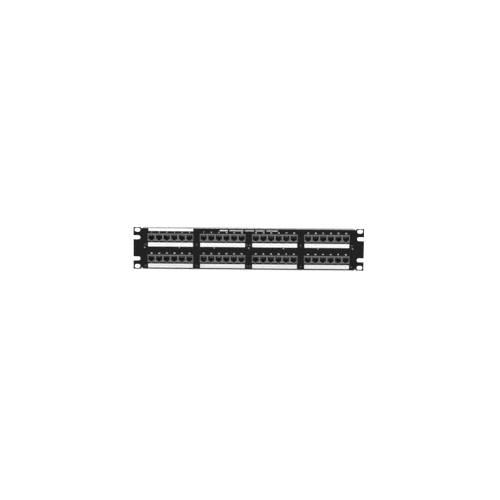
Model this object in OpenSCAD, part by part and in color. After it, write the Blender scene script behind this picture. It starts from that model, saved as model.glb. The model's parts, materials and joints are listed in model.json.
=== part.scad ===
// A 19-inch, two-unit, 48-port punch-down patch panel.
// Origin: centre of the panel on the rear face of the ears, which is the face that meets the rack.
// +X is right as seen from the front, +Y runs back into the rack, +Z is up. Millimetres.

/* [Faceplate] */
// Overall width across the ears
panel_w = 482.6; // [482:0.1:484]
// Overall height of the ears, two rack units less a gap
panel_h = 88.1; // [87.6:0.1:88.9]
// Thickness of the steel sheet
sheet_t = 1.5; // [1.2:0.1:2]
// How far the bent flanges lie below the top and above the bottom of the ears
flange_inset = 0.8; // [0.4:0.1:1.2]
// Depth of the top and bottom flanges behind the mounting face
flange_d = 23; // [18:1:26]
// Inside radius of the flange bends
bend_r = 0.3; // [0.2:0.1:0.6]

/* [Rack slots] */
// Distance between the left and right rows of rack slots
slot_span = 465.1; // [464:0.1:466]
// Distance between the two closed slots of an ear
closed_pitch = 76.2; // [76:0.1:76.4]
// Distance between the two open slots of an ear
open_pitch = 44.45; // [44.3:0.05:44.6]
// Height of each slot
slot_h = 7.5; // [6.8:0.1:8]
// End-to-end length of a closed slot
slot_l = 11.4; // [10:0.1:12]

/* [Ports] */
// Distance between neighbouring ports
port_pitch = 15.875; // [15.8:0.005:16]
// Distance between the centres of neighbouring six-port groups
group_pitch = 109; // [108.5:0.1:110]
// Height of the upper port row above the centre, and twice this is the row pitch
row_half = 22.225; // [22:0.025:22.4]
// How far both port rows are shifted up from the centre
row_shift = 0.65; // [0.4:0.05:0.7]
// Height of a jack's front face
jack_h = 15.8; // [15.2:0.1:15.9]
// How far a jack stands out of the faceplate
jack_proud = 0.8; // [0.4:0.1:1.2]
// Width of the plug opening
mouth_w = 11.9; // [11.7:0.1:12.1]
// Height of the plug opening, without the latch notch
mouth_h = 7.2; // [6.9:0.1:7.4]

/* [Labels] */
// Height of a write-on strip
strip_h = 8.7; // [8:0.1:8.8]
// Thickness of a write-on strip
strip_t = 0.25; // [0.15:0.05:0.4]
// Distance from a port row down to the middle of its strip
strip_drop = 15.27; // [15.2:0.01:15.3]
// Height of the panel's own name strip
name_h = 6.1; // [5:0.1:6.2]

/* [Boards] */
// Distance from the mounting face to the circuit boards
board_y = 13.7; // [13:0.1:15]
// Thickness of a circuit board
board_t = 1.6; // [1.4:0.1:1.8]
// Height of a circuit board
board_h = 37.4; // [36:0.1:37.5]
// Width of a circuit board
board_w = 217.5; // [217:0.1:217.6]
// Thickness of a rear cover
cover_t = 2.6; // [2:0.1:3]

/* [Punch-down blocks] */
// Distance between neighbouring wire slots
wire_pitch = 3.75; // [3.7:0.01:3.8]
// Width of a wire slot
wire_slot = 0.9; // [0.7:0.05:1]
// Thickness of a block
block_t = 8.5; // [8:0.1:9]
// Distance from the middle of a board to each row of blocks
block_row = 10; // [9.8:0.1:10.2]
// Height of a block above its circuit board
block_tall = 14.4; // [13:0.1:16]

/* [Fasteners] */
// Distance between neighbouring rivets
rivet_pitch = 72.5; // [72:0.1:73]
// Height of the rivet row above the centre
rivet_z = 1.4; // [1.2:0.1:1.6]
// Diameter of a rivet head
rivet_head = 3.4; // [3:0.1:3.6]
// Diameter of a screw head
screw_head = 4.4; // [4:0.1:5]
// Diameter of a screw's shank
screw_d = 2.4; // [2.3:0.05:2.5]

/* [Hidden] */
GROUPS = 8;
BOARDS = 4;
PORTS_PER_GROUP = 6;
WIRES = 8;
BLOCKS_PER_ROW = 3;

black = [0.09, 0.09, 0.1];
charcoal = [0.16, 0.16, 0.17];
jack_grey = [0.42, 0.42, 0.43];
paper_white = [0.95, 0.95, 0.94];
gold = [0.85, 0.68, 0.3];
tin = [0.78, 0.78, 0.76];
board_green = [0.06, 0.32, 0.16];
block_ivory = [0.86, 0.85, 0.8];
steel = [0.62, 0.62, 0.64];

eps = 0.02;
$fn = 48;
half_w = panel_w / 2;
half_h = panel_h / 2;
front_y = -sheet_t;                       // front face of the faceplate
body_half_h = half_h - flange_inset;      // outside of the flanges
bend_out = bend_r + sheet_t;
fit_gap = 0.25;                           // between a jack strip and its window
group_w = PORTS_PER_GROUP * port_pitch;
window_w = group_w + 2 * fit_gap;
window_h = jack_h + 2 * fit_gap;

corner_r = 1.2;                           // outer corners of the ears
notch_x = half_w - 18.4;                  // the V cut between an ear and the flanges
notch_reach = 3;
body_half_w = notch_x - notch_reach + flange_inset;  // ends of the flanges

slot_x = slot_span / 2;
slot_r = slot_h / 2;
slot_inner = slot_l / 2 - slot_r;         // from a slot's middle to the centre of its round end

jack_y = front_y - jack_proud;            // front face of the jacks
jack_gap = 0.12;                          // seam between neighbouring jacks
jack_w = port_pitch - jack_gap;
shoulder_y = 0.3;                         // the jack body steps out behind the faceplate
shoulder = 1;
mouth_top = 4;                            // plug opening, measured from the row's centre
mouth_floor = mouth_top - mouth_h;
mouth_d = 13.3;
lip_t = 1.7;                              // front lip that the plug's latch hooks behind
flare_up = 0.9;                           // over the lip the opening widens forwards by this much,
flare_down = 1.15;                        // upwards, downwards
flare_side = 0.3;                         // and to each side
latch_w = 5.9;
latch_h = 2.8;                            // from the plug opening's floor to the latch notch's
tab_w = 4.4;
tab_h = 0.85;
latch_d = 10;
recess_w = 8.9;                           // space for the contact wires above the opening
recess_h = 1.6;
lug_w = 3;                                // snap lug in front of the faceplate
lug_h = 1.2;
lug_t = 0.7;

contact_pitch = 1.02;
contact_w = 0.45;
contact_t = 0.3;
contact_up = mouth_top + 0.9;             // height at which the wires run forwards
contact_front = 0.8;
contact_tip_y = 9.8;
contact_tip_z = 1.95;
pin_out = 1;                              // how far pins come through a board

cover_y = board_y + board_t;
cover_back = cover_y + cover_t;
board_drop = 0.6;                         // a board's middle lies this far below its port row
label_h = 9;
label_t = 0.2;

block_w = (WIRES + 1) * wire_pitch - 2.35;
block_pitch = group_w / BLOCKS_PER_ROW;
block_back = cover_y + block_tall;
slot_floor = cover_y + 6.2;
tower_step = 1.3;                         // the towers inside a pair are this much shorter
tower_cut = 0.9;
clip_w = 3;
clip_t = 0.6;
clip_slit = 0.4;
clip_back = block_back - 3.6;
clip_gap = 0.05;

screw_x = [2.8, group_pitch, 215.5];      // screw columns, from the middle outwards
head_h = 1.4;
recess_arm = 0.55;
recess_deep = 0.8;
front_shank = 7;
rear_shank = 9;
standoff_d = 5;
rivet_d = 2.4;
rivet_tall = 1;
rivets_each_side = 3;
rivet_x = [for (i = [-rivets_each_side : rivets_each_side]) i * rivet_pitch];

bar_t = 1.5;
bar_low = -2.3;                           // underside of the stiffener's shelf
bar_high = 4.8;
bar_half_w = 219;

// Where things stand. Groups 1 to 4 are the upper row from the left, 5 to 8 the lower row.
function row_of(g) = g <= GROUPS / 2 ? 0 : 1;
function row_z(row) = row_shift + (row == 0 ? row_half : -row_half);
function group_x(g) = ((g - 1) % 4 - 1.5) * group_pitch;
function group_z(g) = row_z(row_of(g));
function port_x(g, i) = group_x(g) + (i - (PORTS_PER_GROUP - 1) / 2) * port_pitch;
// Boards 1 and 2 are the upper left and right ones, 3 and 4 the lower ones.
function board_side(b) = b % 2 == 1 ? -1 : 1;
function board_row(b) = b <= 2 ? 0 : 1;
function board_z(b) = row_z(board_row(b)) - board_drop;
function board_x(b) = board_side(b) * group_pitch;
function groups_on(b) = [for (i = [1, 2]) 2 * (b - 1) + i];
function screw_places(b) =
    [for (x = screw_x) [board_side(b) * x, row_z(board_row(b)) - strip_drop]];

// A strip of metal of thickness t bent along a path of points: its outline, with mitred corners.
function unit(v) = v / norm(v);
function side_at(path, i) =
    let (
        last = len(path) - 1,
        a = unit(path[min(i + 1, last)] - path[min(i, last - 1)]),
        b = unit(path[max(i, 1)] - path[max(i - 1, 0)]),
        m = unit([-(a[1] + b[1]), a[0] + b[0]])
    )
    m / (m * [-a[1], a[0]]);
function bent_strip(path, t) = concat(
    [for (i = [0 : len(path) - 1]) path[i] + side_at(path, i) * t / 2],
    [for (i = [len(path) - 1 : -1 : 0]) path[i] - side_at(path, i) * t / 2]
);

// A block centred in X and Z at x, z that runs from y0 to y1.
module slab(x, y0, y1, z, w, h) {
    translate([x - w / 2, y0, z - h / 2]) cube([w, y1 - y0, h]);
}

// A 2D outline in Y and Z, extruded along X and centred on x.
module along_x(x, w) {
    translate([x - w / 2, 0, 0]) rotate([90, 0, 90]) linear_extrude(w) children();
}

// A 2D outline in X and Z, extruded from y0 to y1.
module along_y(y0, y1) {
    translate([0, y1, 0]) rotate([90, 0, 0]) linear_extrude(y1 - y0) children();
}

// A round rod along Y.
module rod(x, y0, y1, z, d) {
    translate([x, y1, z]) rotate([90, 0, 0]) cylinder(d = d, h = y1 - y0);
}

// ---- Faceplate ----

module bend_corner(side) {
    // Quarter ring that joins the web to a flange; side is 1 at the top and -1 at the bottom.
    y = front_y + bend_out;
    z = side * (body_half_h - bend_out);
    intersection() {
        translate([y, z]) difference() {
            circle(r = bend_out);
            circle(r = bend_r);
        }
        translate([y - bend_out, side > 0 ? z : z - bend_out]) square(bend_out);
    }
}

module channel_outline() {
    web = body_half_h - bend_out;
    translate([front_y, -web]) square([sheet_t, 2 * web]);
    for (side = [-1, 1]) {
        bend_corner(side);
        translate([front_y + bend_out, side > 0 ? body_half_h - sheet_t : -body_half_h])
            square([flange_d - front_y - bend_out, sheet_t]);
    }
}

module ear_outline() {
    // Both ears and the web between them, with rounded outer corners and the V cuts.
    difference() {
        union() {
            square([2 * body_half_w, 2 * (body_half_h - bend_out)], center = true);
            for (side = [-1, 1]) {
                translate([side * (body_half_w + half_w - corner_r) / 2, 0])
                    square([half_w - corner_r - body_half_w, panel_h], center = true);
                translate([side * (half_w - corner_r), 0])
                    square([2 * corner_r, panel_h - 2 * corner_r], center = true);
                for (sz = [-1, 1])
                    translate([side * (half_w - corner_r), sz * (half_h - corner_r)]) circle(r = corner_r);
            }
        }
        for (sx = [-1, 1], sz = [-1, 1])
            translate([sx * notch_x, sz * half_h]) rotate(45)
                square(notch_reach * sqrt(2), center = true);
    }
}

module closed_slot(x, z) {
    for (sx = [-1, 1]) rod(x + sx * slot_inner, front_y - 1, 1, z, slot_h);
    slab(x, front_y - 1, 1, z, 2 * slot_inner, slot_h);
}

module open_slot(side, z) {
    end_x = slot_x - slot_inner;
    rod(side * end_x, front_y - 1, 1, z, slot_h);
    slab(side * (end_x + half_w + 1) / 2, front_y - 1, 1, z, half_w + 1 - end_x, slot_h);
}

module faceplate() {
    color(black) difference() {
        union() {
            along_x(0, 2 * body_half_w) channel_outline();
            along_y(front_y, 0) ear_outline();
        }
        for (g = [1 : GROUPS]) slab(group_x(g), front_y - 1, 1, group_z(g), window_w, window_h);
        for (side = [-1, 1], sz = [-1, 1]) {
            closed_slot(side * slot_x, sz * closed_pitch / 2);
            open_slot(side, sz * open_pitch / 2);
        }
        for (b = [1 : BOARDS], p = screw_places(b)) rod(p[0], front_y - 1, 1, p[1], screw_d + 0.3);
        for (x = rivet_x) rod(x, front_y - 1, 1, rivet_z, rivet_d);
    }
}

// ---- Stiffener and fasteners ----

module stiffener_leg() {
    // The strip that is riveted to the back of the faceplate; it stands on the shelf.
    z0 = bar_low + bar_t;
    color(charcoal) difference() {
        slab(0, 0, bar_t, (z0 + bar_high) / 2, 2 * bar_half_w, bar_high - z0);
        for (x = rivet_x) rod(x, -1, bar_t + 1, rivet_z, rivet_d);
    }
}

module stiffener_shelf() {
    color(charcoal) slab(0, 0, flange_d, bar_low + bar_t / 2, 2 * bar_half_w, bar_t);
}

module rivets() {
    // A low domed head in front, the shank, and the upset tail behind the stiffener.
    dome_r = (pow(rivet_head / 2, 2) + pow(rivet_tall, 2)) / (2 * rivet_tall);
    color(steel) for (x = rivet_x) {
        intersection() {
            translate([x, front_y - rivet_tall + dome_r, rivet_z]) sphere(r = dome_r);
            rod(x, front_y - rivet_tall - 1, front_y, rivet_z, rivet_head);
        }
        rod(x, front_y - eps, bar_t + eps, rivet_z, rivet_d);
        rod(x, bar_t, bar_t + rivet_tall, rivet_z, rivet_head - 0.4);
    }
}

module standoffs() {
    // Hexagonal spacers, bored through, between the faceplate and the boards.
    color(gold) for (b = [1 : BOARDS], p = screw_places(b))
        translate([p[0], board_y, p[1]]) rotate([90, 0, 0]) difference() {
            cylinder(d = standoff_d, h = board_y, $fn = 6);
            translate([0, 0, -1]) cylinder(d = screw_d + 0.1, h = board_y + 2);
        }
}

module screw(x, z, seat, shank, toward) {
    // toward is -1 for a head that faces the front and 1 for one that faces the back.
    translate([x, seat, z]) rotate([toward > 0 ? -90 : 90, 0, 0]) {
        difference() {
            union() {
                cylinder(d = screw_head, h = head_h * 0.6);
                translate([0, 0, head_h * 0.6])
                    cylinder(d1 = screw_head, d2 = screw_head * 0.72, h = head_h * 0.4);
            }
            for (a = [0, 90]) rotate(a) translate([0, 0, head_h])
                cube([screw_head * 0.55, recess_arm, 2 * recess_deep], center = true);
        }
        translate([0, 0, -shank]) cylinder(d = screw_d, h = shank + eps);
    }
}

module front_screws() {
    color(charcoal) for (b = [1 : BOARDS], p = screw_places(b)) screw(p[0], p[1], front_y, front_shank, -1);
}

module rear_screws() {
    color(steel) for (b = [1 : BOARDS], p = screw_places(b)) screw(p[0], p[1], cover_back, rear_shank, 1);
}

// ---- Labels on the front ----

module name_strip() {
    z = body_half_h - bend_out - name_h / 2;
    color(paper_white) slab(group_x(1), front_y - strip_t, front_y, z, group_w, name_h);
}

module write_on_strip(g) {
    z = group_z(g) - strip_drop;
    color(paper_white) slab(group_x(g), front_y - strip_t, front_y, z, group_w, strip_h);
}

// ---- Jacks ----

module mouth_flare() {
    ahead = 0.5;                          // how far the cut runs out in front of the jack
    grow = 1 + ahead / lip_t;
    y0 = jack_y - ahead;
    y1 = jack_y + lip_t;
    intersection() {
        along_x(0, jack_w) polygon([
            [y1, mouth_floor], [y1, mouth_top],
            [y0, mouth_top + flare_up * grow], [y0, mouth_floor - flare_down * grow]
        ]);
        translate([0, 0, -jack_h / 2]) linear_extrude(jack_h) polygon([
            [-mouth_w / 2, y1], [mouth_w / 2, y1],
            [mouth_w / 2 + flare_side * grow, y0], [-mouth_w / 2 - flare_side * grow, y0]
        ]);
    }
}

module jack_housing() {
    // One jack, centred on X and on the row's Z. The plug's latch hooks behind the lip under the opening.
    latch_z = mouth_floor - latch_h / 2;
    tab_z = mouth_floor - latch_h - tab_h / 2;
    pocket_h = latch_h + tab_h;
    lip_back = jack_y + lip_t;
    difference() {
        union() {
            slab(0, jack_y, shoulder_y + eps, 0, jack_w, jack_h);
            slab(0, shoulder_y, board_y, 0, jack_w, jack_h + 2 * shoulder);
            slab(0, jack_y, jack_y + lug_t, -jack_h / 2 - lug_h / 2 + eps, lug_w, lug_h + 2 * eps);
        }
        slab(0, jack_y - 1, jack_y + mouth_d, mouth_top - mouth_h / 2, mouth_w, mouth_h);
        mouth_flare();
        slab(0, jack_y - 1, lip_back + eps, latch_z + eps, latch_w, latch_h + 2 * eps);
        slab(0, jack_y - 1, lip_back + eps, tab_z, tab_w, tab_h + 2 * eps);
        slab(0, lip_back, jack_y + latch_d, mouth_floor - pocket_h / 2, latch_w, pocket_h + 2 * eps);
        slab(0, lip_back, board_y + 1, mouth_top + recess_h / 2 - eps, recess_w, recess_h + 2 * eps);
    }
}

module jack_strip(g) {
    color(jack_grey) for (i = [0 : PORTS_PER_GROUP - 1])
        translate([port_x(g, i), 0, group_z(g)]) jack_housing();
}

module jack_contact() {
    // A spring wire from its pin behind the board, forwards over the opening and back down into it.
    path = [
        [cover_y + pin_out, contact_up],
        [contact_front + 0.6, contact_up],
        [contact_front, contact_up - 0.7],
        [contact_tip_y, contact_tip_z]
    ];
    along_x(0, contact_w) polygon(bent_strip(path, contact_t));
}

module jack_contacts(g) {
    color(gold) for (i = [0 : PORTS_PER_GROUP - 1], w = [0 : WIRES - 1])
        translate([port_x(g, i) + (w - (WIRES - 1) / 2) * contact_pitch, 0, group_z(g)]) jack_contact();
}

// ---- Boards, covers and punch-down blocks ----

module circuit_board(b) {
    color(board_green) difference() {
        slab(board_x(b), board_y, cover_y, board_z(b), board_w, board_h);
        for (p = screw_places(b)) rod(p[0], board_y - 1, cover_y + 1, p[1], screw_d + 0.3);
        // One slot in the board for each jack's row of eight contact pins
        for (g = groups_on(b), i = [0 : PORTS_PER_GROUP - 1])
            slab(port_x(g, i), board_y - 1, cover_y + 1, group_z(g) + contact_up,
                 WIRES * contact_pitch, contact_t + 0.1);
    }
}

function block_x(g, k) = group_x(g) + (k - (BLOCKS_PER_ROW - 1) / 2) * block_pitch;

module rear_cover(b) {
    color(charcoal) difference() {
        slab(board_x(b), cover_y, cover_back, board_z(b), board_w, board_h);
        for (g = groups_on(b), side = [-1, 1])
            slab(group_x(g), cover_y - 1, cover_back + 1, board_z(b) + side * block_row,
                 group_w + 0.4, block_t + 0.4);
        // Relief over the jacks' contact pins
        for (g = groups_on(b))
            slab(group_x(g), cover_y - eps, cover_y + pin_out + 0.3, group_z(g) + contact_up, group_w, 2);
        for (p = screw_places(b)) rod(p[0], cover_y - 1, cover_back + 1, p[1], screw_d + 0.3);
    }
}

module wiring_label(b) {
    color(paper_white) for (g = groups_on(b))
        slab(group_x(g), cover_back, cover_back + label_t, board_z(b), group_w, label_h);
}

function tower(i) =
    // The outline of tower i of a block, from left to right: a pointed top between two wire slots.
    let (
        left = i == 0 ? -block_w / 2 : (i - WIRES / 2 - 0.5) * wire_pitch + wire_slot / 2,
        right = i == WIRES ? block_w / 2 : (i - WIRES / 2 + 0.5) * wire_pitch - wire_slot / 2,
        top = block_back - (i % 2 == 1 ? tower_step : 0)
    )
    [[left, slot_floor], [left, top - 2 * tower_cut], [left + tower_cut, top],
     [right - tower_cut, top], [right, top - 2 * tower_cut], [right, slot_floor]];

module block_outline() {
    outline = [for (i = [0 : WIRES], p = tower(i)) p];
    polygon(concat([[-block_w / 2, cover_y]], outline, [[block_w / 2, cover_y]]));
}

module punchdown_block() {
    // Four wire pairs: nine towers with eight slots between them, and a pocket for a clip in each slot.
    difference() {
        translate([0, 0, -block_t / 2]) linear_extrude(block_t) block_outline();
        for (w = [0 : WIRES - 1])
            slab((w - (WIRES - 1) / 2) * wire_pitch, cover_y - 1, clip_back + clip_gap, 0,
                 clip_w + 2 * clip_gap, clip_t + 2 * clip_gap);
    }
}

module block_places(g) {
    for (side = [-1, 1], k = [0 : BLOCKS_PER_ROW - 1])
        translate([block_x(g, k), 0, board_z(ceil(g / 2)) + side * block_row]) children();
}

module punchdown_blocks(g) {
    color(block_ivory) block_places(g) punchdown_block();
}

module punchdown_clip() {
    // A forked blade that stands on the board; its slit cuts through a wire's insulation.
    translate([0, 0, -clip_t / 2]) linear_extrude(clip_t) difference() {
        translate([-clip_w / 2, cover_y]) square([clip_w, clip_back - cover_y]);
        translate([-clip_slit / 2, slot_floor]) square([clip_slit, clip_back]);
    }
}

module punchdown_clips(g) {
    color(tin) block_places(g) for (w = [0 : WIRES - 1])
        translate([(w - (WIRES - 1) / 2) * wire_pitch, 0, 0]) punchdown_clip();
}

faceplate();
stiffener_leg();
stiffener_shelf();
rivets();
standoffs();
front_screws();
rear_screws();
name_strip();
for (g = [1 : GROUPS]) {
    write_on_strip(g);
    jack_strip(g);
    jack_contacts(g);
    punchdown_blocks(g);
    punchdown_clips(g);
}
for (b = [1 : BOARDS]) {
    circuit_board(b);
    rear_cover(b);
    wiring_label(b);
}
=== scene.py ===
import json
import math

import bmesh
import bpy
from mathutils import Matrix, Vector


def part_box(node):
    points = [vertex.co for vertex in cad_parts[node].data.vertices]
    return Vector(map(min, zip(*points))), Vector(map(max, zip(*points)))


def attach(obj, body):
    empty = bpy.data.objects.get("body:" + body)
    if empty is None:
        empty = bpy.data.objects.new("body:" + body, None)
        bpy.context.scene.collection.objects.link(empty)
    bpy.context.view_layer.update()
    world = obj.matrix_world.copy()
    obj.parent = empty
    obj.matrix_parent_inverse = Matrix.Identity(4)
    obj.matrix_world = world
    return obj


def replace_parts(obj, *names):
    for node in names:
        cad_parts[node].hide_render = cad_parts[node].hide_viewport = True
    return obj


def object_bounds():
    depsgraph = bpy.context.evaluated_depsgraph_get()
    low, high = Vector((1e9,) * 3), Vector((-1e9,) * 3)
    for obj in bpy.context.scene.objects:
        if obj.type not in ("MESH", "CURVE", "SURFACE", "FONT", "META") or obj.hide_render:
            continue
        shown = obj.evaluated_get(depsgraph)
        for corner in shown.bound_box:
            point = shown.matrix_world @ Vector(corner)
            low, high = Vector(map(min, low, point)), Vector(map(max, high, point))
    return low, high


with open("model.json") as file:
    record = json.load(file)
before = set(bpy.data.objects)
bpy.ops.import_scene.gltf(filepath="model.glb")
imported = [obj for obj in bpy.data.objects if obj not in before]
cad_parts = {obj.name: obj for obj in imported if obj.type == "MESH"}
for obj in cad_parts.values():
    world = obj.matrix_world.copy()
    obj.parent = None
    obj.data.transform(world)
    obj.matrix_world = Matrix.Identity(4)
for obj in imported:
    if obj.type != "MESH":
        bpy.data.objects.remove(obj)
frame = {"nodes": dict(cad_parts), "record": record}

# A two-unit, 48-port patch panel. X is right from the front, Y runs back into the rack, Z is up.
# Lengths below are in millimetres, and mm() turns them into the scene's metres.

cad_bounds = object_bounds()


def mm(*values):
    """Millimetres as metres: one number, or several as a Vector."""
    return values[0] / 1000 if len(values) == 1 else Vector(values) / 1000


GROUPS = range(1, 9)
BOARDS = range(1, 5)
PORTS = 48
PORTS_PER_GROUP = 6
WIRES = 8                # in a socket, and slots in a punch-down block
BLOCK_COLUMNS = 3        # of punch-down blocks in a group

# Top flange of the faceplate, and the painted highlight, a bright band along its bend
FLANGE_TOP = 43.25
FLANGE_HALF_W = 220.7
BEND = 1.8               # outside radius of the bend
HIGHLIGHT_FOOT = 0.5           # height over which the band begins, at the foot of the bend
HIGHLIGHT_DEPTH = (0.2, 1.2)   # it is whole up to the first depth and gone at the second
HIGHLIGHT_END = 1              # length over which it ends at each side

# Sockets, measured from the middle and the front face of a port
CONTACT_PITCH = 1.02     # spring wires
CONTACT_R = 0.22
CONTACT_BEND_R = 0.5
CONTACT_TIP = (0, 11.6, 1.35)
FIN_T = 0.5              # fins of the combs that hold the wires apart
FRONT_FINS = ((1.75, 4.6), (3.95, 5.55))      # their depths and heights, in the ceiling
REAR_FINS = ((11.2, 13.25), (0.9, 3.95))      # and at the wires' tips
STRIP_HALF_H = 7.9       # half the height of a socket strip
LUG_HALF_W = 1.9         # half the width of the lug under a socket, with the painted shade's fade beside it
MOUTH = ((6.3, 4.95, -4.5), (2.95, 0, -6), (2.2, 0, -6.85))    # half-width, top and bottom of its steps
SHADE_DEPTH = 0.02         # a socket's front face keeps its grey down to this depth, and painted shade begins behind it
SHADE_FADE = 0.2          # over which painted shade turns it nearly black behind that
RIM_SHADE_FADE = (0.12, 0.42)  # painted shade makes its rims nearly black up to the first distance, grey from the second

# Screws
SHANK_R = 1.2
THREAD_PITCH = 0.5
SCREW_TURN = 2.4         # radians from one screw's cross to the next one's

# Printing
PRINT_T = 0.02           # thickness of ink
NUMBER_H = 2.55          # height of a port number
NUMBER_RISE = 10.8       # from a port row up to its numbers
NUMBER_SHIFT = 0.2       # to the right of the port's middle
NUMBER_WEIGHT = 0.1      # added to its strokes on each side
FONT_SIZE = 1.38         # of the font, for figures of height 1
RULE_Z = 37.9            # the bars along the top edge
RULE_H = 2.4
RULE_TICK = 1.0          # pitch of their ticks, rounded to fill each bar
RULE_BARS = ((-60.5, -44, 0.85), (-40.2, -11.2, 0.6), (-7.4, 11, 0.53), (14.5, 33, 0.53),
             (37.5, 60.5, 0.53))        # left, right, and the filled share of a tick
STRIP_BORDER = (0.9, 0.9, 0.3, 0.3)     # printed border of a write-on strip: left, right, bottom, top
NAME_BORDER = (1.7, 0.3, 0.65, 0)       # and of the name strip
LINE_HALF = (4.2, 0.2)   # half-width and half-height of a writing line
DIVIDER_HALF_W = 0.12
DIVIDER_INSET = 0.9      # from the top and bottom of its strip

# Punch-down blocks and their labels
WIRE_PITCH = 3.75        # of the slots
TIP_BACK = 1.3           # from the blocks' rear face to the lower tips inside each pair
TIP_HALF = (0.4, 2.6)    # half-width and half-height of a painted tip
MARK_RISE = (2.5, 4.2)   # a wire's mark on the label, from the label's middle line
MARK_HALF_W = 1.45
STRIPE_PITCH = 1.05      # the stripes of a striped mark
STRIPE_HALF_W = 0.28
REAR_NUMBER_H = 2.6
REAR_NUMBER_SHIFT = 6    # off a column's middle, to +X for a group's first three ports, to -X for the rest

ports = {m["name"]: Vector(m["pos_m"]) for m in frame["record"]["mounts"] if m["name"].startswith("port_")}
port_list = [ports[f"port_{n:02d}"] for n in range(1, PORTS + 1)]
pitch = port_list[1].x - port_list[0].x
group_pitch = port_list[PORTS_PER_GROUP].x - port_list[0].x
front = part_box("write_on_strip_1")[1].y      # front face of the faceplate


# ---- Mesh helpers ----

def add_object(name, data):
    """A new object, linked to the scene."""
    made = bpy.data.objects.new(name, data)
    bpy.context.scene.collection.objects.link(made)
    return made


def new_piece(name, mesh, material, location=(0, 0, 0)):
    """A piece of the object that rides on its only body."""
    piece = add_object(name, mesh)
    piece.location = location
    if not mesh.materials:
        mesh.materials.append(material)
    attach(piece, "root")
    return piece


def mesh_from(name, bm, smooth_angle=None):
    """The finished mesh. With an angle in degrees, it is smooth but for the edges sharper than that."""
    mesh = bpy.data.meshes.new(name)
    bmesh.ops.recalc_face_normals(bm, faces=bm.faces)
    bm.to_mesh(mesh)
    bm.free()
    if smooth_angle is not None:
        mesh.shade_smooth()
        mesh.set_sharp_from_angle(angle=math.radians(smooth_angle))
    return mesh


def add_box(bm, low, high, material_index=0):
    """A closed box between two corners given in metres."""
    low, high = Vector(low), Vector(high)
    made = bmesh.ops.create_cube(bm, size=1)["verts"]
    for v in made:
        v.co = (low + high) / 2 + Vector(v.co[i] * (high - low)[i] for i in range(3))
    for f in {f for v in made for f in v.link_faces}:
        f.material_index = material_index


def bevel_all(bm, width, angle=40):
    """Chamfers the edges that are sharper than the angle."""
    edges = [e for e in bm.edges if len(e.link_faces) == 2 and e.calc_face_angle(0) > math.radians(angle)]
    bmesh.ops.bevel(bm, geom=edges, offset=width, segments=1, profile=0.5, affect="EDGES",
                    clamp_overlap=True)


def revolve(bm, profile, steps=40):
    """Turns a profile of (radius, height) pairs about Z. Its ends meet the axis or close with a face."""
    rings = []
    for radius, height in profile:
        if radius == 0:
            rings.append([bm.verts.new((0, 0, height))])
            continue
        turn = [2 * math.pi * i / steps for i in range(steps)]
        rings.append([bm.verts.new((radius * math.cos(a), radius * math.sin(a), height)) for a in turn])
    for a, b in zip(rings, rings[1:]):
        for i in range(steps):
            j = (i + 1) % steps
            corners = [a[i % len(a)], a[j % len(a)], b[j % len(b)], b[i % len(b)]]
            unique = list(dict.fromkeys(corners))
            if len(unique) > 2:
                bm.faces.new(unique)


def sweep(bm, path, radius, sides=8):
    """A round wire along a list of points, with flat ends."""
    rings = []
    for i, point in enumerate(path):
        along = (path[min(i + 1, len(path) - 1)] - path[max(i - 1, 0)]).normalized()
        side = Vector((1, 0, 0))
        up = along.cross(side).normalized()
        turn = [2 * math.pi * k / sides for k in range(sides)]
        rings.append([bm.verts.new(point + radius * (math.cos(a) * side + math.sin(a) * up)) for a in turn])
    for a, b in zip(rings, rings[1:]):
        for k in range(sides):
            bm.faces.new((a[k], a[(k + 1) % sides], b[(k + 1) % sides], b[k]))
    bm.faces.new(rings[0])
    bm.faces.new(rings[-1][::-1])


def solids_of(node):
    """The (lowest, highest) corners of each separate solid in a CAD node."""
    bm = bmesh.new()
    bm.from_mesh(frame["nodes"][node].data)
    bmesh.ops.remove_doubles(bm, verts=bm.verts, dist=1e-6)
    left, boxes = set(bm.verts), []
    while left:
        island, edge = set(), [left.pop()]
        while edge:
            v = edge.pop()
            island.add(v)
            for e in v.link_edges:
                other = e.other_vert(v)
                if other in left:
                    left.discard(other)
                    edge.append(other)
        low = Vector(min(v.co[i] for v in island) for i in range(3))
        high = Vector(max(v.co[i] for v in island) for i in range(3))
        boxes.append((low, high))
    bm.free()
    return sorted(boxes, key=lambda b: (round(b[0].z, 4), round(b[0].x, 4)))


def soften(node, width, segments=2, angle=35):
    """Rounds a CAD node's hard edges with modifiers, which leave its own shape alone."""
    piece = frame["nodes"][node]
    if "custom_normal" in piece.data.attributes:
        piece.data.attributes.remove(piece.data.attributes["custom_normal"])
    piece.data.shade_smooth()
    weld = piece.modifiers.new("weld", "WELD")
    weld.merge_threshold = 1e-6
    flatten = piece.modifiers.new("flatten", "DECIMATE")
    flatten.decimate_type = "DISSOLVE"
    flatten.angle_limit = math.radians(0.5)
    flatten.use_dissolve_boundaries = False
    bevel = piece.modifiers.new("bevel", "BEVEL")
    bevel.width = mm(width)
    bevel.segments = segments
    bevel.limit_method = "ANGLE"
    bevel.angle_limit = math.radians(angle)
    bevel.use_clamp_overlap = True
    normals = piece.modifiers.new("normals", "WEIGHTED_NORMAL")
    normals.weight = 50


def paint(node, material):
    """Gives a CAD node a new material in place of its packed one."""
    mesh = frame["nodes"][node].data
    mesh.materials.clear()
    mesh.materials.append(material)


# ---- Materials ----

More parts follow.
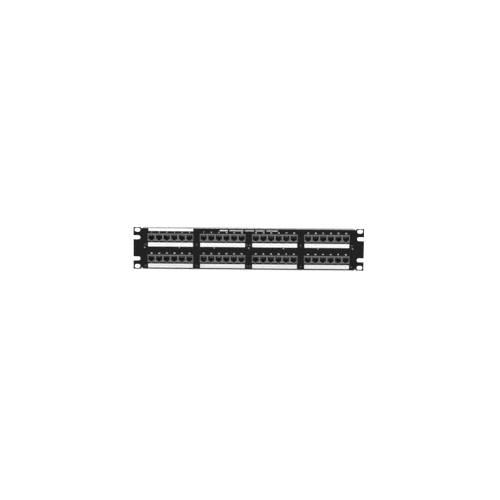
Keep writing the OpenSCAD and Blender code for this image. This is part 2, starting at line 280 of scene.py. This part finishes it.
class Finish:
    """A procedural material. Sizes are in millimetres, in the object's own coordinates."""

    def __init__(self, name, rough, metallic=0.0, specular=0.5):
        self.material = bpy.data.materials.new(name)
        self.material.use_nodes = True
        self.tree = self.material.node_tree
        self.shader = self.tree.nodes["Principled BSDF"]
        self.shader.inputs["Metallic"].default_value = metallic
        self.shader.inputs["Specular IOR Level"].default_value = specular
        self.shader.inputs["Roughness"].default_value = rough
        self.rough = rough
        self.place = self.node("ShaderNodeTexCoord").outputs["Object"]

    def node(self, kind, **settings):
        made = self.tree.nodes.new(kind)
        for key, value in settings.items():
            setattr(made, key, value)
        return made

    def join(self, source, target):
        if isinstance(source, (int, float, tuple)):
            target.default_value = source
        else:
            self.tree.links.new(source, target)

    def noise(self, size, detail=3.0, stretch=(1, 1, 1)):
        """Smooth noise from 0 to 1 whose features are about size across, divided by stretch."""
        mapping = self.node("ShaderNodeMapping")
        mapping.inputs["Scale"].default_value = [1 / (mm(size) * s) for s in stretch]
        self.join(self.place, mapping.inputs["Vector"])
        texture = self.node("ShaderNodeTexNoise")
        texture.inputs["Scale"].default_value = 1.0
        texture.inputs["Detail"].default_value = detail
        self.join(mapping.outputs["Vector"], texture.inputs["Vector"])
        return texture.outputs["Fac"]

    def spread(self, value, low, high, to_low=0.0, to_high=1.0):
        """The value mapped from low..high to to_low..to_high, and held there beyond them."""
        ranged = self.node("ShaderNodeMapRange")
        limits = {"From Min": low, "From Max": high, "To Min": to_low, "To Max": to_high}
        for name, number in limits.items():
            ranged.inputs[name].default_value = number
        self.join(value, ranged.inputs["Value"])
        return ranged.outputs["Result"]

    def maths(self, operation, *values):
        made = self.node("ShaderNodeMath", operation=operation)
        for value, socket in zip(values, made.inputs):
            self.join(value, socket)
        return made.outputs["Value"]

    def blend(self, factor, a, b):
        """Colour a where factor is 0 and b where it is 1."""
        made = self.node("ShaderNodeMix", data_type="RGBA")
        sockets = {s.identifier: s for s in list(made.inputs) + list(made.outputs)}
        self.join(factor, sockets["Factor_Float"])
        self.join(a, sockets["A_Color"])
        self.join(b, sockets["B_Color"])
        return sockets["Result_Color"]

    def axis(self, name):
        """The object's own X, Y or Z in metres."""
        split = self.node("ShaderNodeSeparateXYZ")
        self.join(self.place, split.inputs[0])
        return split.outputs[name]

    def edges(self, radius):
        """1 on convex and concave edges, 0 on flat faces."""
        bevel = self.node("ShaderNodeBevel", samples=4)
        bevel.inputs["Radius"].default_value = mm(radius)
        geometry = self.node("ShaderNodeNewGeometry")
        dot = self.node("ShaderNodeVectorMath", operation="DOT_PRODUCT")
        self.join(bevel.outputs["Normal"], dot.inputs[0])
        self.join(geometry.outputs["Normal"], dot.inputs[1])
        return self.spread(dot.outputs["Value"], 0.995, 0.85)

    def colour(self, source):
        self.join(source, self.shader.inputs["Base Color"])

    def vary_roughness(self, value, amount):
        """Roughness that swings by amount each way with a value from 0 to 1."""
        self.join(self.spread(value, 0.3, 0.7, self.rough - amount, self.rough + amount),
                  self.shader.inputs["Roughness"])

    def bump(self, *layers):
        """Layers of (height, strength, depth in millimetres)."""
        normal = None
        for height, strength, depth in layers:
            made = self.node("ShaderNodeBump")
            made.inputs["Strength"].default_value = strength
            made.inputs["Distance"].default_value = mm(depth)
            self.join(height, made.inputs["Height"])
            if normal is not None:
                self.join(normal, made.inputs["Normal"])
            normal = made.outputs["Normal"]
        self.join(normal, self.shader.inputs["Normal"])


def grey(value, warm=0.0):
    """A grey colour, a little yellow where warm is above 0."""
    return (value * (1 + warm), value, value * (1 - warm), 1.0)


def powder_coat():
    """Black polyester powder on steel: an orange-peel skin, greyer edges and a painted highlight along the
    top bend.
    """
    f = Finish("powder_coat", rough=0.42, specular=0.1)
    skin, grain, cloud = f.noise(1.3, detail=2), f.noise(0.35, detail=2), f.noise(45, detail=5)
    tone = f.blend(f.spread(cloud, 0.3, 0.7), grey(0.004), grey(0.0064))
    speckle = f.blend(f.spread(grain, 0.56, 0.72), tone, grey(0.012))
    scuff = f.maths("MULTIPLY", f.edges(0.5), f.spread(f.noise(6, detail=5), 0.42, 0.62))
    coat = f.blend(scuff, speckle, grey(0.05))
    # painted highlight: a lighter grey along the crest of the top bend, broken a little by noise
    above = f.spread(f.axis("Z"), mm(FLANGE_TOP - BEND), mm(FLANGE_TOP - BEND + HIGHLIGHT_FOOT))
    before = f.spread(f.axis("Y"), mm(HIGHLIGHT_DEPTH[1]), mm(HIGHLIGHT_DEPTH[0]))
    within = f.spread(f.maths("ABSOLUTE", f.axis("X")), mm(FLANGE_HALF_W), mm(FLANGE_HALF_W - HIGHLIGHT_END))
    crest = f.maths("MULTIPLY", f.maths("MULTIPLY", above, before), within)
    bend_highlight = f.maths("MULTIPLY", crest, f.spread(f.noise(5, detail=5), 0.3, 0.55, 0.6, 1.0))
    f.colour(f.blend(bend_highlight, coat, grey(0.34)))
    f.vary_roughness(cloud, 0.05)
    f.shader.inputs["Sheen Weight"].default_value = 0.45
    f.shader.inputs["Sheen Roughness"].default_value = 0.35
    f.bump((skin, 0.5, 0.05), (grain, 0.35, 0.02))
    return f.material


def mouth_rims(f):
    """Mask of painted shade: 0 on the rounded rims round the sockets' mouths and along the strips' long
    edges, 1 elsewhere.
    """
    rows = port_list[0].z, port_list[-1].z
    half_row, half_pitch, half_group = (rows[0] - rows[1]) / 2, pitch / 2, group_pitch / 2
    z = f.maths("WRAP", f.maths("SUBTRACT", f.axis("Z"), rows[0]), half_row, -half_row)
    x = f.maths("WRAP", f.maths("SUBTRACT", f.axis("X"), half_group), half_group, -half_group)
    from_end = f.maths("SUBTRACT", PORTS_PER_GROUP * half_pitch, f.maths("ABSOLUTE", x))
    x = f.maths("WRAP", f.maths("SUBTRACT", x, half_pitch), half_pitch, -half_pitch)
    aside = f.maths("ABSOLUTE", x)
    outside = f.maths("SUBTRACT", mm(STRIP_HALF_H), f.maths("ABSOLUTE", z))
    on_lug = f.maths("MINIMUM", f.maths("SUBTRACT", mm(LUG_HALF_W), aside), f.maths("MULTIPLY", z, -1))
    outside = f.maths("MINIMUM", f.maths("MAXIMUM", outside, on_lug), from_end)
    for half_w, top, bottom in MOUTH:
        past = f.maths("SUBTRACT", aside, mm(half_w))
        for level, sign in ((top, 1), (bottom, -1)):
            past = f.maths("MAXIMUM", past, f.maths("MULTIPLY", f.maths("SUBTRACT", z, mm(level)), sign))
        outside = f.maths("MINIMUM", outside, past)
    near, far = RIM_SHADE_FADE
    return f.spread(outside, mm(near), mm(far))


def moulded(name, light, rough, specular=0.4, warm=0.0, grain=0.03, shade_from=None):
    """Injection-moulded plastic with a spark-eroded grain, faint flow marks and softly polished edges.

    With a depth given, it is a socket strip with painted shade, nearly black behind that depth and on its
    rims.
    """
    f = Finish(name, rough=rough, specular=specular)
    flow, fine = f.noise(9, detail=4, stretch=(3, 1, 1)), f.noise(0.3, detail=2)
    tone = f.blend(f.spread(flow, 0.3, 0.7), grey(light * 0.92, warm), grey(light * 1.06, warm))
    tone = f.blend(f.maths("MULTIPLY", f.edges(0.3), 0.35), tone, grey(min(light * 1.5, 0.95), warm))
    if shade_from is not None:
        shade = grey(0.03)
        # painted shade: nearly black on the rims round the mouths and on the strips' long edges, and behind
        # the front face
        tone = f.blend(mouth_rims(f), shade, tone)
        tone = f.blend(f.spread(f.axis("Y"), shade_from, shade_from + mm(SHADE_FADE)), tone, shade)
    f.colour(tone)
    f.vary_roughness(flow, 0.05)
    f.bump((fine, 0.4, grain))
    return f.material


def metal(name, base, rough, brushed=(1, 1, 1), tint=(1, 1, 1), metallic=1.0):
    """Bare or plated metal with fine scratches along one direction and duller blotches."""
    f = Finish(name, rough=rough, metallic=metallic)
    blotch, scratch = f.noise(4, detail=5), f.noise(0.25, detail=3, stretch=brushed)
    low = tuple(base * 0.8 * t for t in tint) + (1.0,)
    high = tuple(base * t for t in tint) + (1.0,)
    f.colour(f.blend(f.spread(blotch, 0.3, 0.7), low, high))
    f.vary_roughness(scratch, 0.08)
    f.bump((scratch, 0.25, 0.01))
    return f.material


def card(name, light):
    """Matt coated card: almost even, with a trace of fibre."""
    f = Finish(name, rough=0.62, specular=0.3)
    fibre, cloud = f.noise(0.5, detail=4, stretch=(3, 1, 1)), f.noise(30, detail=3)
    tone = f.blend(f.spread(cloud, 0.3, 0.7), grey(light * 0.97, 0.004), grey(light, 0.004))
    f.colour(f.blend(f.spread(fibre, 0.55, 0.8, 0, 0.4), tone, grey(light * 0.93, 0.004)))
    f.vary_roughness(fibre, 0.06)
    f.bump((fibre, 0.15, 0.02))
    return f.material


def ink(name, rgb, rough=0.5, specular=0.4):
    """Screen-printed ink, a little thin in places."""
    f = Finish(name, rough=rough, specular=specular)
    thin = f.noise(0.4, detail=3)
    f.colour(f.blend(f.spread(thin, 0.35, 0.6), tuple(0.8 * c for c in rgb) + (1.0,), tuple(rgb) + (1.0,)))
    f.vary_roughness(thin, 0.05)
    f.bump((thin, 0.2, 0.01))
    return f.material


def laminate():
    """Green solder mask over glass-fibre board, with a weave and copper tracks that show through."""
    f = Finish("board_laminate", rough=0.32, specular=0.5)
    weave = f.noise(0.6, detail=1, stretch=(4, 1, 1))
    tracks = f.node("ShaderNodeTexBrick")
    tracks.inputs["Scale"].default_value = 1 / mm(6)
    tracks.inputs["Mortar Size"].default_value = 0.06
    f.join(f.place, tracks.inputs["Vector"])
    mask = f.blend(f.spread(weave, 0.3, 0.7), (0.010, 0.085, 0.035, 1), (0.014, 0.11, 0.045, 1))
    f.colour(f.blend(f.maths("MULTIPLY", tracks.outputs["Fac"], 0.6), mask, (0.03, 0.17, 0.06, 1)))
    f.vary_roughness(weave, 0.05)
    f.bump((tracks.outputs["Fac"], 0.3, 0.03), (weave, 0.1, 0.01))
    return f.material


COAT = powder_coat()
JACK = moulded("jack_plastic", 0.163, rough=0.5, specular=0.25, shade_from=port_list[0].y + mm(SHADE_DEPTH))
COMB = moulded("socket_comb", 0.22, rough=0.5)
COVER = moulded("cover_plastic", 0.016, rough=0.55, grain=0.05)
BLOCK = moulded("block_plastic", 0.7, rough=0.42, warm=0.03)
GOLD = metal("contact_gold", 0.92, rough=0.42, tint=(1.0, 0.82, 0.5), metallic=0.4)
TIN = metal("clip_tin", 0.62, rough=0.34)
BRASS = metal("standoff_brass", 0.62, rough=0.35, tint=(1.0, 0.76, 0.42))
RIVET = metal("rivet_steel", 0.32, rough=0.48)
BLACK_SCREW = moulded("black_screw", 0.035, rough=0.3, specular=0.6)
PLAIN_SCREW = metal("plain_screw", 0.6, rough=0.3, brushed=(4, 1, 1))
CARD = card("label_card", 0.87)
NAME_CARD = card("name_card", 0.9)
WIRING_CARD = card("wiring_card", 0.82)
LAMINATE = laminate()
WHITE_INK = ink("white_ink", (0.85, 0.85, 0.85))
GREY_INK = ink("grey_ink", (0.42, 0.42, 0.42))
BLACK_INK = ink("black_ink", (0.01, 0.01, 0.01), specular=0.15)


# ---- Faceplate, stiffener, boards, covers, labels: CAD nodes with better edges and finishes ----

paint("faceplate", COAT)
soften("faceplate", 0.25, segments=3)
for part in ("leg", "shelf"):
    paint(f"stiffener_{part}", COAT)
    soften(f"stiffener_{part}", 0.2)
paint("rivets", RIVET)
soften("rivets", 0.08)
paint("standoffs", BRASS)
soften("standoffs", 0.15)
paint("name_strip", NAME_CARD)
soften("name_strip", 0.05)
for g in GROUPS:
    paint(f"write_on_strip_{g}", CARD)
    soften(f"write_on_strip_{g}", 0.05)
    paint(f"jack_strip_{g}", JACK)
    soften(f"jack_strip_{g}", 0.13)
    paint(f"punchdown_blocks_{g}", BLOCK)
    soften(f"punchdown_blocks_{g}", 0.12)
    paint(f"punchdown_clips_{g}", TIN)
    soften(f"punchdown_clips_{g}", 0.06)
for b in BOARDS:
    paint(f"circuit_board_{b}", LAMINATE)
    soften(f"circuit_board_{b}", 0.1)
    paint(f"rear_cover_{b}", COVER)
    soften(f"rear_cover_{b}", 0.25)
    paint(f"wiring_label_{b}", WIRING_CARD)
    soften(f"wiring_label_{b}", 0.04)


# ---- Sockets: round spring wires, and the comb that holds them apart ----

def socket_wires():
    """The wires of one group, about its middle in X and about a port's middle and front face in Z and Y."""
    low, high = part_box("jack_contacts_1")
    origin = port_list[0]
    radius = mm(CONTACT_BEND_R)
    top = high.z - origin.z - mm(CONTACT_R)
    pin = high.y - origin.y
    bend = low.y - origin.y + mm(0.75)      # middle of the bend round which the wire turns back
    tip = mm(*CONTACT_TIP)
    steps, bent = 8, 166                    # points round the bend, and its angle in degrees
    bm = bmesh.new()
    for port in range(PORTS_PER_GROUP):
        for wire in range(WIRES):
            x = (port - (PORTS_PER_GROUP - 1) / 2) * pitch + mm((wire - (WIRES - 1) / 2) * CONTACT_PITCH)
            path = [Vector((x, pin, top)), Vector((x, bend + mm(2), top))]
            centre = Vector((x, bend, top - radius))
            for step in range(steps + 1):
                a = math.radians(90 + step * bent / steps)
                path.append(centre + radius * Vector((0, math.cos(a), math.sin(a))))
            slope = Vector((x, tip.y, tip.z)) - path[-1]
            path += [path[-1] + slope * share for share in (0.3, 0.65, 0.93)]
            path.append(Vector((x, tip.y + mm(0.1), tip.z + mm(0.02))))
            sweep(bm, path, mm(CONTACT_R))
    return mesh_from("socket_wires", bm, smooth_angle=50)


def socket_combs():
    """Fins between the wires of one group, placed as the wires are."""
    bm = bmesh.new()
    for port in range(PORTS_PER_GROUP):
        for gap in range(WIRES + 1):
            x = (port - (PORTS_PER_GROUP - 1) / 2) * pitch + mm((gap - WIRES / 2) * CONTACT_PITCH)
            x0, x1 = x - mm(FIN_T) / 2, x + mm(FIN_T) / 2
            for (y0, y1), (z0, z1) in (FRONT_FINS, REAR_FINS):
                add_box(bm, (x0, mm(y0), mm(z0)), (x1, mm(y1), mm(z1)))
    bevel_all(bm, mm(0.08))
    return mesh_from("socket_combs", bm)


wires_mesh, combs_mesh = socket_wires(), socket_combs()
for g in GROUPS:
    left_port = port_list[(g - 1) * PORTS_PER_GROUP]
    middle = left_port + Vector(((PORTS_PER_GROUP - 1) / 2 * pitch, 0, 0))
    wires = new_piece(f"socket_wires_{g}", wires_mesh, GOLD, middle)
    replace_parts(wires, f"jack_contacts_{g}")
    new_piece(f"socket_combs_{g}", combs_mesh, COMB, middle)


# ---- Screws ----

def screw_mesh(name, head_r, head_h, shank_r, shank_l, domed):
    """A pan-head screw along Z with its seat at 0, its head above, its shank below and a cross recess."""
    bm = bmesh.new()
    flat = 0.35 if domed else 0.62          # share of the head's radius that is flat on top
    side = 0.45                             # share of its height that is upright at the side
    steps = 6
    head = [(head_r, head_h * side)]
    for step in range(1, steps + 1):
        a = math.radians(90 * step / steps)
        head.append((head_r * (flat + (1 - flat) * math.cos(a)),
                     head_h * (side + (1 - side) * math.sin(a))))
    thread = []
    for turn in range(int(shank_l / mm(THREAD_PITCH))):
        top = -turn * mm(THREAD_PITCH)
        thread += [(shank_r, top - mm(0.05)), (shank_r * 0.86, top - mm(0.25)), (shank_r, top - mm(0.45))]
    profile = [(0, head_h)] + head[::-1] + [(head_r * 0.97, 0)] + thread
    profile += [(shank_r * 0.8, -shank_l), (0, -shank_l)]
    revolve(bm, profile)
    body = add_object("screw_body", mesh_from("screw_body", bm))
    cutter_bm = bmesh.new()
    for turn in (0, 90):
        for v in bmesh.ops.create_cube(cutter_bm, size=1)["verts"]:
            # each wing of the cutter narrows downwards
            if v.co.z < 0:
                long, thick, height = head_r * 0.45, mm(0.38), head_h - mm(0.95)
            else:
                long, thick, height = head_r * 1.15, mm(0.62), head_h + mm(0.3)
            place = Vector((v.co.x * long, v.co.y * thick, height))
            v.co = Matrix.Rotation(math.radians(turn), 3, "Z") @ place
    cutter = add_object("screw_cutter", mesh_from("screw_cutter", cutter_bm))
    cut = body.modifiers.new("cross", "BOOLEAN")
    cut.operation = "DIFFERENCE"
    cut.object = cutter
    cut.solver = "EXACT"
    cut.use_self = True
    mesh = bpy.data.meshes.new_from_object(body.evaluated_get(bpy.context.evaluated_depsgraph_get()))
    mesh.name = name
    mesh.materials.clear()
    for o in (body, cutter):
        bpy.data.objects.remove(o)
    return mesh


def place_screws(node, piece_name, mesh, material, facing, seat):
    """One piece with a screw for every solid of the CAD node, each turned differently.

    They face the front where facing is -1 and the back where it is 1, and seat is their heads' depth.
    """
    bm = bmesh.new()
    for i, (low, high) in enumerate(solids_of(node)):
        middle = (low + high) / 2
        one = mesh.copy()
        turn = Matrix.Rotation(i * SCREW_TURN, 4, "Z")
        stand = Matrix.Rotation(math.radians(90 if facing < 0 else -90), 4, "X")
        one.transform(Matrix.Translation((middle.x, seat, middle.z)) @ stand @ turn)
        bm.from_mesh(one)
        bpy.data.meshes.remove(one)
    joined = mesh_from(piece_name, bm, smooth_angle=35)
    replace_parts(new_piece(piece_name, joined, material), node)


low, high = solids_of("front_screws")[0]
head_r = (high.z - low.z) / 2
screw = screw_mesh("front_screw", head_r, front - low.y, mm(SHANK_R), high.y - front, domed=True)
place_screws("front_screws", "front_screw_set", screw, BLACK_SCREW, -1, front)
cover_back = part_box("wiring_label_1")[0].y
low, high = solids_of("rear_screws")[0]
screw = screw_mesh("rear_screw", head_r, high.y - cover_back, mm(SHANK_R), cover_back - low.y, domed=False)
place_screws("rear_screws", "rear_screw_set", screw, PLAIN_SCREW, 1, cover_back)


# ---- Printing ----

def digits(text, height, facing=-1, weight=0.0):
    """The text as a thin mesh in the XZ plane, readable from the front or, where facing is 1, the back."""
    curve = bpy.data.curves.new("digits", "FONT")
    curve.body, curve.align_x, curve.align_y = text, "CENTER", "CENTER"
    curve.size = height * FONT_SIZE
    curve.offset = weight
    curve.resolution_u = 3
    curve.extrude = mm(PRINT_T) / 2
    holder = add_object("digits", curve)
    mesh = bpy.data.meshes.new_from_object(holder.evaluated_get(bpy.context.evaluated_depsgraph_get()))
    bpy.data.objects.remove(holder)
    mesh.transform(Matrix.Rotation(math.radians(90), 4, "X"))
    if facing > 0:
        mesh.transform(Matrix.Rotation(math.pi, 4, "Z"))
    return mesh


def print_numbers(name, places, height, facing, material, weight=0.0):
    """Numbers from 1 at the given places, joined in one piece."""
    bm = bmesh.new()
    for n, place in enumerate(places, 1):
        mesh = digits(str(n), height, facing, weight)
        mesh.transform(Matrix.Translation(place))
        bm.from_mesh(mesh)
        bpy.data.meshes.remove(mesh)
    return new_piece(name, mesh_from(name, bm), material)


ink_y = front - mm(PRINT_T) / 2
places = [Vector((p.x + mm(NUMBER_SHIFT), ink_y, p.z + mm(NUMBER_RISE))) for p in port_list]
print_numbers("port_numbers", places, mm(NUMBER_H), -1, WHITE_INK, mm(NUMBER_WEIGHT))


def printed_rule():
    """A line of plain bars along the top edge, each made of even upright ticks."""
    bm = bmesh.new()
    for left, right, filled in RULE_BARS:
        ticks = round((right - left) / RULE_TICK)
        step = (right - left) / ticks
        for i in range(ticks):
            x = left + i * step
            add_box(bm, (mm(x), front - mm(PRINT_T), mm(RULE_Z - RULE_H / 2)),
                    (mm(x + step * filled), front, mm(RULE_Z + RULE_H / 2)))
    return mesh_from("printed_rule", bm)


new_piece("printed_rule", printed_rule(), WHITE_INK)


def strip_ink(node):
    """Where the ink on a strip's face starts and ends in Y: just proud of the face and just inside it."""
    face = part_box(node)[0].y
    return face - mm(0.012), face + mm(0.02)


def add_border(bm, node, widths):
    """Black bars over the edges of a strip, with the widths of the left, right, bottom and top one."""
    low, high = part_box(node)
    proud = mm(0.01)
    left, right, bottom, top = (mm(width) for width in widths)
    x0, x1, z0, z1 = low.x - proud, high.x + proud, low.z - proud, high.z + proud
    over, under = z0 + bottom, z1 - top
    bars = ((x0, over, x0 + left, under), (x1 - right, over, x1, under),
            (x0, z0, x1, over), (x0, under, x1, z1))
    for width, (bar_x0, bar_z0, bar_x1, bar_z1) in zip(widths, bars):
        if width:
            add_box(bm, (bar_x0, strip_ink(node)[0], bar_z0), (bar_x1, high.y, bar_z1), 1)


def strip_print():
    """A border round every strip, dividers between the cells of the write-on strips, and writing lines."""
    bm = bmesh.new()
    add_border(bm, "name_strip", NAME_BORDER)
    for g in GROUPS:
        add_border(bm, f"write_on_strip_{g}", STRIP_BORDER)
        low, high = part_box(f"write_on_strip_{g}")
        cell = (high.x - low.x) / PORTS_PER_GROUP
        y0, y1 = strip_ink(f"write_on_strip_{g}")
        half, inset = mm(DIVIDER_HALF_W), mm(DIVIDER_INSET)
        for i in range(1, PORTS_PER_GROUP):
            x = low.x + i * cell
            add_box(bm, (x - half, y0, low.z + inset), (x + half, y1, high.z - inset))
        half_w, half_h = (mm(size) for size in LINE_HALF)
        z = (low.z + high.z) / 2
        for i in range(PORTS_PER_GROUP):
            x = low.x + (i + 0.5) * cell
            add_box(bm, (x - half_w, y0, z - half_h), (x + half_w, y1, z + half_h))
    mesh = mesh_from("strip_print", bm)
    for tint in (GREY_INK, BLACK_INK):
        mesh.materials.append(tint)
    return mesh


new_piece("strip_print", strip_print(), GREY_INK)


# ---- Rear: colour codes, port numbers and pair marks ----

PAIR_INKS = [ink(f"pair_{name}", rgb) for name, rgb in (
    ("blue", (0.02, 0.10, 0.50)), ("orange", (0.75, 0.20, 0.02)),
    ("green", (0.02, 0.28, 0.07)), ("brown", (0.16, 0.06, 0.025)))]


def block_columns(g):
    """The middles of a group's block columns in X and of its block rows in Z, and the blocks' rear face."""
    boxes = solids_of(f"punchdown_blocks_{g}")
    xs = sorted({round((a.x + b.x) / 2, 5) for a, b in boxes})
    zs = sorted({round((a.z + b.z) / 2, 5) for a, b in boxes})
    return xs, zs, boxes[0][1].y


def pair_marks():
    """Painted tips on the towers inside each pair, in the pair's colour."""
    bm = bmesh.new()
    half_w, half_h = (mm(size) for size in TIP_HALF)
    for g in GROUPS:
        xs, zs, back = block_columns(g)
        tip = back - mm(TIP_BACK)
        for x in xs:
            for z in zs:
                for pair in range(WIRES // 2):
                    middle = x + mm((2 * pair + 0.5 - (WIRES - 1) / 2) * WIRE_PITCH)
                    add_box(bm, (middle - half_w, tip - mm(0.02), z - half_h),
                            (middle + half_w, tip + mm(0.03), z + half_h), pair)
    mesh = mesh_from("pair_marks", bm)
    for pair_ink in PAIR_INKS:
        mesh.materials.append(pair_ink)
    return mesh


def wiring_print():
    """On each wiring label, a striped or plain mark for every wire, along both edges."""
    bm = bmesh.new()
    low_rise, high_rise = (mm(rise) for rise in MARK_RISE)
    wide, narrow = mm(MARK_HALF_W), mm(STRIPE_HALF_W)
    for g in GROUPS:
        xs, zs, _ = block_columns(g)
        middle = sum(zs) / 2
        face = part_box(f"wiring_label_{(g + 1) // 2}")[1].y
        y0, y1 = face - mm(0.01), face + mm(0.015)
        for x in xs:
            for side in (-1, 1):
                for wire in range(WIRES):
                    # seen from behind, a block's first wire is on the left, which is +X
                    at = x - mm((wire - (WIRES - 1) / 2) * WIRE_PITCH)
                    z0, z1 = sorted((middle + side * low_rise, middle + side * high_rise))
                    if wire % 2:
                        add_box(bm, (at - wide, y0, z0), (at + wide, y1, z1), wire // 2)
                        continue
                    for stripe in (-1, 0, 1):
                        s = at + stripe * mm(STRIPE_PITCH)
                        add_box(bm, (s - narrow, y0, z0), (s + narrow, y1, z1), wire // 2)
    mesh = mesh_from("wiring_print", bm)
    for pair_ink in PAIR_INKS:
        mesh.materials.append(pair_ink)
    return mesh


new_piece("pair_marks", pair_marks(), PAIR_INKS[0])
new_piece("wiring_print", wiring_print(), PAIR_INKS[0])

label_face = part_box("wiring_label_1")[1].y + mm(PRINT_T) / 2
rear_places = []
for port in range(PORTS):
    xs, zs, _ = block_columns(port // PORTS_PER_GROUP + 1)
    column, row = port % BLOCK_COLUMNS, port % PORTS_PER_GROUP // BLOCK_COLUMNS
    shift = mm(REAR_NUMBER_SHIFT if row == 0 else -REAR_NUMBER_SHIFT)
    rear_places.append(Vector((xs[column] + shift, label_face, sum(zs) / 2)))
print_numbers("rear_numbers", rear_places, mm(REAR_NUMBER_H), 1, BLACK_INK)


# ---- Floor, light and camera ----

def stage_piece(name, bm, finish):
    """A piece of the studio, which isn't part of the object."""
    mesh = mesh_from(name, bm)
    mesh.materials.append(finish.material)
    made = add_object(name, mesh)
    return made


def glow(finish, strength):
    """White light from the surface itself."""
    finish.shader.inputs["Emission Color"].default_value = (1, 1, 1, 1)
    finish.shader.inputs["Emission Strength"].default_value = strength


def floor():
    """A pale floor that the panel stands on, 60 m across."""
    bm = bmesh.new()
    bmesh.ops.create_grid(bm, x_segments=1, y_segments=1, size=30)
    f = Finish("floor", rough=0.9, specular=0.1)
    f.colour(f.blend(f.noise(400, detail=2), grey(0.9), grey(0.93)))
    glow(f, 0.15)
    stage_piece("floor", bm, f).location.z = cad_bounds[0].z


def backdrop():
    """A white sky that only the camera sees, so that it lights nothing, 20 m away on all sides."""
    bm = bmesh.new()
    bmesh.ops.create_uvsphere(bm, u_segments=32, v_segments=16, radius=20)
    f = Finish("backdrop", rough=1.0, specular=0.0)
    f.colour(grey(0))
    glow(f, 1.1)
    dome = stage_piece("backdrop", bm, f)
    for ray in ("diffuse", "glossy", "transmission", "volume_scatter", "shadow"):
        setattr(dome, f"visible_{ray}", False)


def soft_light(name, location, size, power, seen=True):
    """A rectangular light of that size in metres and power in watts, aimed at the panel."""
    data = bpy.data.lights.new(name, "AREA")
    data.shape = "RECTANGLE"
    data.size, data.size_y = size
    data.energy = power
    light = add_object(name, data)
    light.location = location
    light.rotation_euler = (Vector((0, 0, 0)) - light.location).to_track_quat("-Z", "Y").to_euler()
    light.visible_camera = seen


def studio_world():
    """White above and behind the panel, and a dimmer room on the side that it faces."""
    world = bpy.data.worlds.new("studio")
    bpy.context.scene.world = world
    world.use_nodes = True
    tree = world.node_tree
    place = tree.nodes.new("ShaderNodeTexCoord")
    lean = tree.nodes.new("ShaderNodeVectorMath")
    lean.operation = "DOT_PRODUCT"
    lean.inputs[1].default_value = (0, 0.6, 0.8)      # towards the brightest part
    level = tree.nodes.new("ShaderNodeMapRange")
    level.interpolation_type = "SMOOTHSTEP"
    for name, number in {"From Min": -0.6, "From Max": 0.5, "To Min": 0.22, "To Max": 1.3}.items():
        level.inputs[name].default_value = number
    background = tree.nodes["Background"]
    tree.links.new(place.outputs["Generated"], lean.inputs[0])
    tree.links.new(lean.outputs["Value"], level.inputs["Value"])
    tree.links.new(level.outputs["Result"], background.inputs["Strength"])
    background.inputs["Color"].default_value = (1, 1, 1, 1)


def camera():
    """Long lens, a little above the panel, square to it but for a very small roll."""
    distance, elevation, roll = 2.47, math.radians(6.2), math.radians(-0.51)
    aim = Vector((mm(2.83), front, mm(-2.42)))
    data = bpy.data.cameras.new("camera")
    data.lens, data.sensor_width = 85, 36
    cam = add_object("camera", data)
    back = Vector((0, -math.cos(elevation), math.sin(elevation)))
    cam.location = aim + distance * back
    cam.rotation_mode = "QUATERNION"
    level = (-back).to_track_quat("-Z", "Y")
    cam.rotation_quaternion = level @ Matrix.Rotation(-roll, 4, "Z").to_quaternion()
    bpy.context.scene.camera = cam


floor()
backdrop()
studio_world()
soft_light("key", (-0.5, -1.5, 2.2), (2.2, 1.4), 14)
soft_light("top", (0.4, 0.3, 2.4), (2.5, 1.0), 12)
soft_light("back", (0, 3, 0.45), (3.5, 0.7), 30, seen=False)
camera()
bpy.context.scene.view_settings.view_transform = "Standard"
